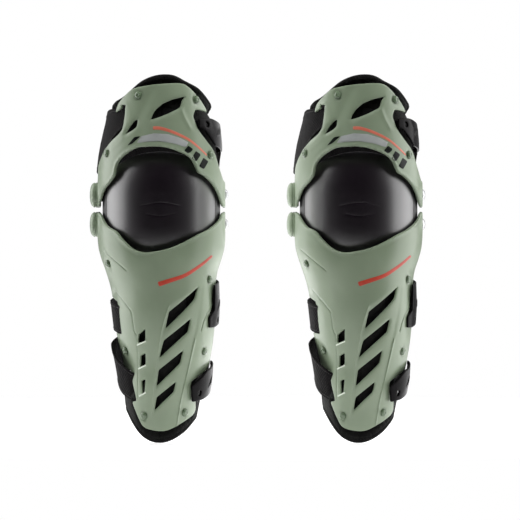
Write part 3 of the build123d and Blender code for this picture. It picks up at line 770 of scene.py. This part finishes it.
def thigh_pad_place(P, out=0.0):
    """The thigh liner's surface, which flares out where it stands clear of the shell's top edge."""
    free = smooth(1.0, 9.0, -material_depth(P, [thigh_outer])) * smooth(124, 134, P[:, 1])
    return thigh_plain(P, out + 7.0 * free)


def shin_pad_place(P, out=0.0):
    """The shin liner's surface, which flares out where it stands clear of the shell's lower edge."""
    free = smooth(0.5, 6.0, -material_depth(P, [shin_outer])) * smooth(220, 238, -P[:, 1])
    return shin_plain(P, out + 7.0 * free)


thigh_rim = rim(THIGH, [(-69, 125), (-51.5, 142), (-33.5, 156.5), (-14, 165.8), (4, 169.5), (22, 167),
                        (46.5, 154), (61.5, 137), (67, 123)], 3.0)
thigh_pad = np.vstack([
    thigh_rim, side(THIGH, 1, spline([(3, 116), (4, 64)])),
    rim(THIGH, [(60, 66), (35, 82), (0, 87), (-35, 84), (-60, 68)], LINER_INSET),
    side(THIGH, -1, spline([(4, 64), (3, 118)]))])
thigh_pad = rounded(resample(thigh_pad, 4.0, True), 1)
thigh_seams = [curve(THIGH, s, 3) for s in (
    [(-40, 90), (-36, 120), (-24, 160)], [(0, 92), (2, 130), (3, 166)], [(40, 88), (38, 120), (28, 158)],
    [(-62, 110), (-30, 124), (2, 130), (34, 124), (60, 110)])]
pad("thigh_liner", "thigh", thigh_pad, thigh_pad_place, thigh_seams, -LINER_INSET, LINER_T)
shin_rim = rim(SHIN, [(52, -234), (51, -248), (45.5, -264.5), (34.5, -279), (24, -288), (12, -294.5),
                      (-1.3, -297), (-14, -294.5), (-24.5, -287.5), (-34, -275.5), (-42, -261), (-48, -248),
                      (-50, -234)], 3.5)
shin_pad = np.vstack([
    side(SHIN, 1, spline([(1, -82), (1, -160), (-4, -226)])), shin_rim,
    side(SHIN, -1, spline([(-4, -226), (1, -160), (1, -82)])),
    rim(SHIN, [(-58, -81), (0, -81), (58, -81)], LINER_INSET)])
shin_pad = rounded(resample(shin_pad, 4.0, True), 1)
shin_seams = [curve(SHIN, s, 3) for s in (
    [(-34, -90), (-32, -180), (-26, -276)], [(2, -90), (1, -180), (-1, -288)],
    [(38, -90), (38, -180), (26, -276)], [(-54, -130), (2, -138), (58, -130)],
    [(-48, -190), (2, -198), (52, -190)], [(-42, -236), (0, -246), (42, -236)])]
pad("shin_liner", "shin", shin_pad, shin_pad_place, shin_seams, -LINER_INSET, LINER_T)
knee_seams = [spline(s, 3) for s in (
    [(-26, -66), (-26, 66)], [(26, -66), (26, 66)], [(-58, 24), (58, 24)], [(-58, -24), (58, -24)])]
pad("knee_pad", "knee_cup", cup_loop(60, 37, 1.0), cup_place, knee_seams, -3.5, 6.8)
for name, body, line, place in (("thigh_piping", "thigh", thigh_rim, thigh_pad_place),
                                ("shin_piping", "shin", shin_rim, shin_pad_place)):
    path = place(resample(line, 3.0)[1:-1], -11.2)
    show(name, body, tube(path, 2.7), PIPING, sharp=80)


# ---- straps and hooks

BAR_Y, STRAP_T = 16.0, 2.0   # the bars' depth behind the knee centre, the webbing's thickness
STRAP_MID = 1.1              # from a strap's outer form in to the middle of the webbing
LOOP_R = 3.15                # middle of the webbing round a bar
HOOK_OUT = 6.5               # a hook's face above the shell, along its post
POST_HOLE_R = 3.85


def tip(verts, form, post, degrees):
    """Turn a strap's pieces about the line across the guard through its post."""
    y0, z0 = wrap(form)(front(form, [post]))[0][1:]
    a = math.radians(degrees)
    v = np.array(verts, float)
    y, z = v[:, 1] - y0, v[:, 2] - z0
    v[:, 1] = y0 + y * math.cos(a) - z * math.sin(a)
    v[:, 2] = z0 + y * math.sin(a) + z * math.cos(a)
    return v


def ring_at(rings, z):
    """A strap's outer form at height z: half width, back depth, sideways shift."""
    (z0, *low), (z1, *high) = rings
    t = (z - z0) / (z1 - z0)
    return [a + t * (b - a) for a, b in zip(low, high)]


def bar_at(rings, z):
    """Where a hook's bar is at height z."""
    a, b, c = ring_at(rings, z)
    across_way = math.sqrt(1 - (BAR_Y / (b - STRAP_MID)) ** 2)
    return np.array([c + (a - STRAP_MID) * across_way, BAR_Y, z])


def webbing(rings, left_depth, stations, loop):
    """A flat strap from its slot round the back to a loop about the hook's bar.

    A station is an angle round the leg, the strap's lower and upper edge, and how far each stands out.
    Gives vertices, faces, UVs, the strap's length and its stitching.
    """
    stations = np.array(stations, float)
    end = -360 + math.degrees(math.acos(-(BAR_Y + 9) / ring_at(rings, rings[0][0])[1]))
    thetas = np.concatenate([np.arange(stations[0, 0], end, -2.0), [end]])
    low, high, lift_low, lift_high = (np.interp(-thetas, -stations[:, 0], column)
                                      for column in stations.T[1:])
    spread = np.array([0, 0.02, 0.06, 0.15, 0.3, 0.5, 0.7, 0.85, 0.94, 0.98, 1.0])
    rows = []
    for v in spread:
        path = []
        for th, z0, z1, out, out_high in zip(np.radians(thetas), low, high, lift_low, lift_high):
            z = z0 + v * (z1 - z0)
            out += v * v * (out_high - out)
            a, b, c = ring_at(rings, z)
            depth = left_depth if math.cos(th) > 0 else b
            path.append((c + (a + out - STRAP_MID) * math.sin(th),
                         -(depth + out - STRAP_MID) * math.cos(th), z))
        zb = loop[0] + v * (loop[1] - loop[0])
        bar = bar_at(rings, zb)
        start = np.array(path[-1])
        ahead = np.array([bar[0] - start[0], bar[1] - start[1]])
        ahead /= np.linalg.norm(ahead)
        out_way = np.array([-ahead[1], ahead[0]])
        out_way *= np.sign(out_way[0])
        for s in (0.35, 0.7, 1.0):
            q = start[:2] * (1 - s) + bar[:2] * s + out_way * LOOP_R * smooth(0, 0.9, s)
            path.append((*q, start[2] * (1 - s) + zb * s))
        for phi in np.radians(np.arange(15, 181, 15)):
            path.append((*(bar[:2] + LOOP_R * (math.cos(phi) * out_way + math.sin(phi) * ahead)), zb))
        for s in (2.0, 4.0, 6.0):
            path.append((*(bar[:2] - LOOP_R * out_way - ahead * s), zb))
        rows.append(path)
    rows = np.array(rows)
    t = np.gradient(rows, axis=1)[:, :, :2]
    t /= np.maximum(np.linalg.norm(t, axis=2, keepdims=True), 1e-9)
    n = np.stack([t[:, :, 1], -t[:, :, 0]], 2)
    if n[5, 2] @ rows[5, 2, :2] < 0:
        n = -n
    half = np.full(len(spread), STRAP_T / 2)
    half[[0, -1]] *= 0.35          # edges
    half[[1, 2, -3, -2]] *= 1.2    # selvedges
    k, m = rows.shape[:2]
    thread = []

    def on_strap(i, v):
        """A point on the outer face, at row i and share v of the width."""
        at = [np.interp(v, spread, rows[:, i, c]) for c in range(3)]
        way = [np.interp(v, spread, n[:, i, c]) * 1.15 for c in range(2)]
        return np.array([at[0] + way[0], at[1] + way[1], at[2]])

    last = len(thetas) - 2
    for v in (0.09, 0.91):
        for i in range(3, last):
            a, b = on_strap(i, v), on_strap(i + 1, v)
            thread.append(tube([a, a * 0.35 + b * 0.65], 0.38, ring=6))
    for i in (last - 5, last - 1):
        for v in np.arange(0.14, 0.84, 0.07):
            thread.append(tube([on_strap(i, v), on_strap(i, v + 0.045)], 0.4, ring=6, normal=(1, 0, 0)))
    shell, uvs = [], []
    run = np.concatenate([[0], np.cumsum(np.linalg.norm(np.diff(rows[5], axis=0), axis=1))])
    for i in range(m):
        for order, hand in ((range(k), 1), (range(k - 1, -1, -1), -1)):
            for j in order:
                p = rows[j, i].copy()
                p[:2] += n[j, i] * half[j] * hand
                shell.append(p)
                uvs.append((run[i] * MM, p[2] * MM))
    w = 2 * k
    faces = []
    for i in range(m - 1):
        for j in range(w):
            j2 = (j + 1) % w
            faces.append((i * w + j, i * w + j2, (i + 1) * w + j2, (i + 1) * w + j))
    faces.append(tuple(range(w - 1, -1, -1)))
    faces.append(tuple(range((m - 1) * w, m * w)))
    return np.array(shell), faces, uvs, run[-1], joined(thread)


LUG_W = 5.0
LUG_PROFILE = [(2.15, 0), (3.6, 0), (4.1, 0.5), (4.1, 4.5), (3.6, LUG_W), (2.15, LUG_W)]
LUG_SEGMENTS = 32


def hook(rings, form, outline_points, post, degrees, span, strap_rings):
    """Moulded hook: a faceted plate with a hole for its post, three raised bars and two lugs on its bar."""
    place = wrap(rings)
    parts = [front(rings, spline(p, 3)) if view == "front" else side(rings, 1, spline(p, 3))
             for view, p in outline_points]
    loop = rounded(resample(np.vstack(parts), 2.0, True), 2)
    at, n = on_surface(wrap(form), front(form, [post])[0])
    hole_at = tip([at + n * HOOK_OUT], form, post, -degrees)[0]
    a, f, b, c = rows_at(rings, hole_at[2])
    hole = np.array([math.asin((hole_at[0] - c[0]) / a[0]) * U, hole_at[2]])
    ring = np.radians(np.arange(0, 360, 20))
    hole_loop = hole + POST_HOLE_R * np.stack([np.cos(ring), np.sin(ring)], 1)
    centre = loop.mean(0)
    reach = np.ptp(loop, axis=0) / 2
    bars = [spline([centre + (dx - 3, dz - 3.5), centre + (dx + 2.5, dz + 3.5)], 1.0)
            for dx, dz in ((-4.0, 0), (0, 1.2), (4.0, 2.4))]

    def relief(P):
        q = (P - centre) / reach
        h = -1.3 * np.maximum(np.abs(q[:, 0]), np.abs(q[:, 1]) * 0.8) - 0.6 * np.maximum(q[:, 0] + q[:, 1], 0)
        for bar in bars:
            h += bump(distance(P, bar), 0.9, 0.7)
        return h

    v, faces, *_ = plate(loop, place, (hole_loop,), relief, thick=4.0, radius=0.9, grid=2.2, lines=bars)
    shapes = [(v, faces)]
    for z0 in (span[0], span[1] - LUG_W):
        base, end = bar_at(strap_rings, z0), bar_at(strap_rings, z0 + LUG_W)
        v, faces = lathe(LUG_PROFILE, LUG_SEGMENTS)
        inner = (len(LUG_PROFILE) - 1) * LUG_SEGMENTS
        faces = faces[:-2]
        for k in range(LUG_SEGMENTS):
            j = (k + 1) % LUG_SEGMENTS
            faces.append((inner + k, inner + j, j, k))
        shapes.append((turned(v, end - base) + base, faces))
    v, faces = joined(shapes)
    return tip(v, form, post, degrees), faces


STRAPS = {
    "thigh": dict(
        form=THIGH, body="thigh", post=(56.0, 108.5), degrees=-8, span=(84, 118), left_depth=83,
        rings=[(87, 75.4, 79, 0), (119, 74.3, 79, 0)],
        hook_rings=[(70, 80.5, 95, 80, 0), (120, 77.5, 93.5, 80, 0)],
        stations=[(-35, 106, 125, -2.5, -2.5), (-40, 105, 128, -2, -2), (-52, 96, 131, -1.5, -1.5),
                  (-66, 82, 133, -1, -2), (-78, 68, 134, 0, -3), (-90, 60, 134, 4, -4),
                  (-102, 57, 134, 10, -4), (-120, 58, 132, 9.5, -3), (-180, 76, 123, 1, 0),
                  (-225, 64, 125, 7, -1), (-238, 60, 125, 4.5, -2), (-249, 66, 121, 2.5, -1.5)],
        view=[("front", [(51, 104), (51, 114)]), ("front", [(51, 114), (64, 118), (73, 118)]),
              ("side", [(13, 118), (13, 113)]), ("side", [(10.6, 112.6), (10.6, 89.4)]),
              ("side", [(13, 89), (13, 84)]), ("front", [(72, 84), (66, 92), (58, 101)])]),
    "calf": dict(
        form=SHIN, body="shin", post=(67.6, -142.0), degrees=8, span=(-149, -95), left_depth=76,
        rings=[(-158, 63.5, 69, 5), (-120, 66.5, 72, 3.7)],
        hook_rings=[(-160, 70.2, 77, 70, 4.8), (-80, 75.5, 81, 72, 1.5)],
        stations=[(-52, -158, -121, -4.5, -4.5), (-58, -158, -121, -1, -1), (-68, -158, -120, 2, 2),
                  (-90, -158, -119, 3.5, 3.5), (-115, -158, -119, 3, 3), (-180, -158, -119, 0, 0),
                  (-240, -156, -119, 0, 0), (-250, -148, -110, 0, 0)],
        view=[("front", [(71, -95), (74, -95)]), ("side", [(13, -95), (13, -100)]),
              ("side", [(10.6, -100.4), (10.6, -143.6)]), ("side", [(13, -144), (13, -149)]),
              ("front", [(70, -150.5), (64, -149)]), ("front", [(64, -149), (64, -135)]),
              ("front", [(64, -135), (70, -128)])]),
    "ankle": dict(
        form=SHIN, body="shin", post=(45.5, -234.0), degrees=16, span=(-245, -207), left_depth=54,
        rings=[(-246, 56.8, 47, 0.5), (-213, 61.2, 51, 1)],
        hook_rings=[(-250, 63, 66.5, 46, 0.5), (-200, 69, 71, 52, 1)],
        stations=[(-34, -246, -209, -6, -6), (-39, -246, -208, -4, -3), (-46, -246, -203, -2.5, 0),
                  (-64, -243, -193, -2, 2), (-90, -234, -180, -1.5, 1), (-130, -222, -177, 0, -2),
                  (-180, -218, -180, 0, -3), (-215, -226, -192, 0, -1), (-240, -240, -209, 0, 0),
                  (-250, -240, -212, 0, 0)],
        view=[("front", [(41, -222), (62, -207)]), ("side", [(13, -207), (13, -212)]),
              ("side", [(10.6, -212.4), (10.6, -239.6)]), ("side", [(13, -240), (13, -244.5)]),
              ("front", [(55, -245.5), (42, -244)]), ("front", [(42, -244), (41, -222)])]),
}
for name, s in STRAPS.items():
    between_lugs = (s["span"][0] + 5.6, s["span"][1] - 5.6)
    v, f, uvs, length, thread = webbing(s["rings"], s["left_depth"], s["stations"], between_lugs)
    v = tip(v, s["form"], s["post"], s["degrees"])
    thread = tip(thread[0], s["form"], s["post"], s["degrees"]), thread[1]
    sewn = show(f"{name}_stitching", s["body"], thread, THREAD, sharp=80)
    bands = show(f"{name}_strap", s["body"], (v, f), WEBBING, [f"{name}_strap"], 60, uvs)
    shape = hook(s["hook_rings"], s["form"], s["view"], s["post"], s["degrees"], s["span"], s["rings"])
    show(f"{name}_hook", f"{name}_hook", shape, HOOK, [f"{name}_hook"], sharp=24)

# ---- hard CAD parts shown as they are

AS_MADE = {"upper_hinge_pins": STEEL, "lower_hinge_pins": STEEL, "hinge_washers": WASHER,
           "upper_hinge_bushes": BRASS, "lower_hinge_bushes": BRASS, "hinge_carrier": BLACK}
for name in STRAPS:
    AS_MADE[f"{name}_hook_bar"] = STEEL
    AS_MADE[f"{name}_hook_post"] = HOOK
for hand in GUARDS:
    for node, finish in AS_MADE.items():
        part = frame["nodes"][f"{hand}_{node}"]
        part.data.materials.clear()
        part.data.materials.append(finish)

# ---- studio

low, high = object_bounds()
MIDDLE = (low + high) / 2
FLOOR_Z = low.z - 0.002
FLOOR_R, FLOOR_Y = 1.18, 0.72    # a disc set back, so that little of it shows in the cup
sweep = bpy.data.meshes.new("studio_floor")
round_edge = [(MIDDLE.x + FLOOR_R * math.cos(a), FLOOR_Y + FLOOR_R * math.sin(a), FLOOR_Z)
              for a in np.radians(np.arange(0, 360, 5))]
sweep.from_pydata(round_edge, [], [tuple(range(len(round_edge)))])
pale = finish_of("studio_white", [(250, 250, 250), (252, 252, 252)], 0.75, 2.0)
glow = pale.node_tree.nodes["Principled BSDF"]
glow.inputs["Emission Color"].default_value = (1, 1, 1, 1)
glow.inputs["Emission Strength"].default_value = 0.4
sweep.materials.append(pale)
floor = bpy.data.objects.new("studio_floor", sweep)
bpy.context.scene.collection.objects.link(floor)


CENTRE = Vector((MIDDLE.x, 0, -0.06))


def area(name, at, size, power, mirrored=True, to=(0, 0, 0)):
    """A soft box, placed and aimed from CENTRE. Where it isn't mirrored, it leaves no highlight."""
    light = bpy.data.lights.new(name, "AREA")
    light.shape = "RECTANGLE"
    light.size, light.size_y = size
    light.energy = power
    o = bpy.data.objects.new(name, light)
    start, end = CENTRE + Vector(at), CENTRE + Vector(to)
    o.location = start
    o.rotation_euler = (end - start).to_track_quat("-Z", "Y").to_euler()
    o.visible_camera = False
    o.visible_glossy = mirrored
    bpy.context.scene.collection.objects.link(o)


area("key_left", (-1.05, 0.25, 0.2), (0.95, 1.7), 12.5)
area("key_right", (1.05, 0.18, 0.2), (1.05, 1.7), 14)
for hand, way in (("left", -1), ("right", 1)):
    area(f"between_{hand}", (0.002 * way, 0.07, 0), (0.3, 0.5), 0.45, to=(way, 0.07, 0))
area("top", (0, -0.45, 0.72), (1.0, 0.3), 5.2, False)
area("front_left", (-1.3, -0.9, 0.1), (0.5, 1.2), 0.6, False)
area("front_right", (1.3, -0.9, 0.1), (0.5, 1.2), 0.45, False)
area("floor_wash", (0, 0.9, 2.2), (3.5, 1.6), 50, False, to=(0, 0.9, -0.4))

# The air is dark in front and pale behind, for the reflections, and plain white to the camera.
world = bpy.data.worlds.new("studio_air")
bpy.context.scene.world = world
world.use_nodes = True
nodes, links = world.node_tree.nodes, world.node_tree.links
where = nodes.new("ShaderNodeTexCoord")
parts = nodes.new("ShaderNodeSeparateXYZ")
ramp = nodes.new("ShaderNodeValToRGB")
dark, pale_air = ramp.color_ramp.elements
dark.position, pale_air.position = 0.3, 0.62
dark.color = (0.05, 0.048, 0.054, 1)
pale_air.color = (0.85, 0.85, 0.86, 1)
shift = nodes.new("ShaderNodeMapRange")
shift.inputs["From Min"].default_value = -1
links.new(where.outputs["Generated"], parts.inputs["Vector"])
links.new(parts.outputs["Y"], shift.inputs["Value"])
links.new(shift.outputs["Result"], ramp.inputs["Fac"])
links.new(ramp.outputs["Color"], nodes["Background"].inputs["Color"])
nodes["Background"].inputs["Strength"].default_value = 0.3
backdrop = nodes.new("ShaderNodeBackground")
backdrop.inputs["Color"].default_value = (1, 1, 1, 1)
seen = nodes.new("ShaderNodeLightPath")
choose = nodes.new("ShaderNodeMixShader")
links.new(seen.outputs["Is Camera Ray"], choose.inputs["Fac"])
links.new(nodes["Background"].outputs["Background"], choose.inputs[1])
links.new(backdrop.outputs["Background"], choose.inputs[2])
links.new(choose.outputs["Shader"], nodes["World Output"].inputs["Surface"])

lens = bpy.data.cameras.new("camera")
lens.lens = 300
lens.sensor_width = 36
camera = bpy.data.objects.new("camera", lens)
camera.location = (0.1275, -5.612, -0.065)
camera.rotation_euler = (math.radians(90), 0, 0)
bpy.context.scene.collection.objects.link(camera)
bpy.context.scene.camera = camera
bpy.context.scene.view_settings.view_transform = "Standard"
